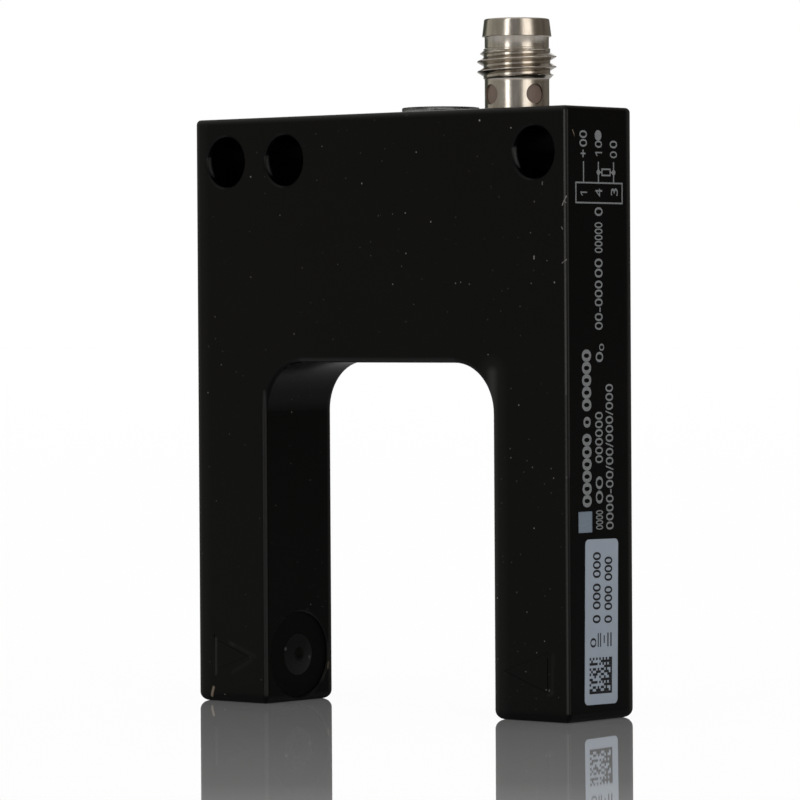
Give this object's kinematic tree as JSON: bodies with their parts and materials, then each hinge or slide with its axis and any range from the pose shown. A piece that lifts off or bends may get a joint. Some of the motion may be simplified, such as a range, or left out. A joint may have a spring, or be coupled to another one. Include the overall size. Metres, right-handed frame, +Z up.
{
  "type": "fork sensor",
  "caption": "Black metal fork light barrier with facing lenses across its gap, through fixing holes, a sensitivity adjuster and a round threaded connector on top.",
  "frame": {"origin": "under the middle of the housing, on the plane of the leg tips", "axes": "+X from the left leg to the right leg and connector, +Y from the front face to the back cover, +Z up from the leg tips to the connector"},
  "size_m": [0.0491, 0.0104, 0.0689],
  "materials": {
    "black_coat": "matte",
    "gasket": "matte",
    "board": "satin",
    "screw_steel": "satin",
    "bezel_black": "matte",
    "lens_smoked": "gloss",
    "holder_black": "matte",
    "emitter_red": "gloss",
    "receiver_dark": "gloss",
    "connector_nickel": "satin",
    "insert_brown": "satin",
    "contact_gold": "polished",
    "window_clear": "gloss",
    "rotor_white": "satin",
    "trimmer_blue": "satin",
    "chip_black": "matte",
    "capacitor_amber": "satin",
    "indicator_amber": "gloss",
    "label_film": "satin"
  },
  "bodies": {
    "housing": {"fork_housing": "black_coat", "back_cover": "black_coat", "cover_gasket": "gasket", "circuit_board": "board", "board_screws": "screw_steel", "emitter_bezel": "bezel_black", "receiver_bezel": "bezel_black", "emitter_lens": "lens_smoked", "receiver_lens": "lens_smoked", "emitter_holder": "holder_black", "receiver_holder": "holder_black", "emitter_led": "emitter_red", "receiver_photodiode": "receiver_dark", "connector_shell": "connector_nickel", "connector_insert": "insert_brown", "contact_pin_1": "contact_gold", "contact_pin_3": "contact_gold", "contact_pin_4": "contact_gold", "adjuster_window": "window_clear", "trimmer_body": "trimmer_blue", "controller_chip": "chip_black", "voltage_regulator": "chip_black", "output_driver": "chip_black", "input_capacitor": "capacitor_amber", "indicator_led": "indicator_amber", "side_label": "label_film"},
    "adjuster": {"trimmer_rotor": "rotor_white"}
  },
  "joints": [
    {"name": "adjuster_turn", "type": "hinge", "parent": "housing", "child": "adjuster", "pos_m": [0.00435, 0, 0.0603], "axis": [0, 0, 1], "range_deg": [-135, 135]}
  ]
}
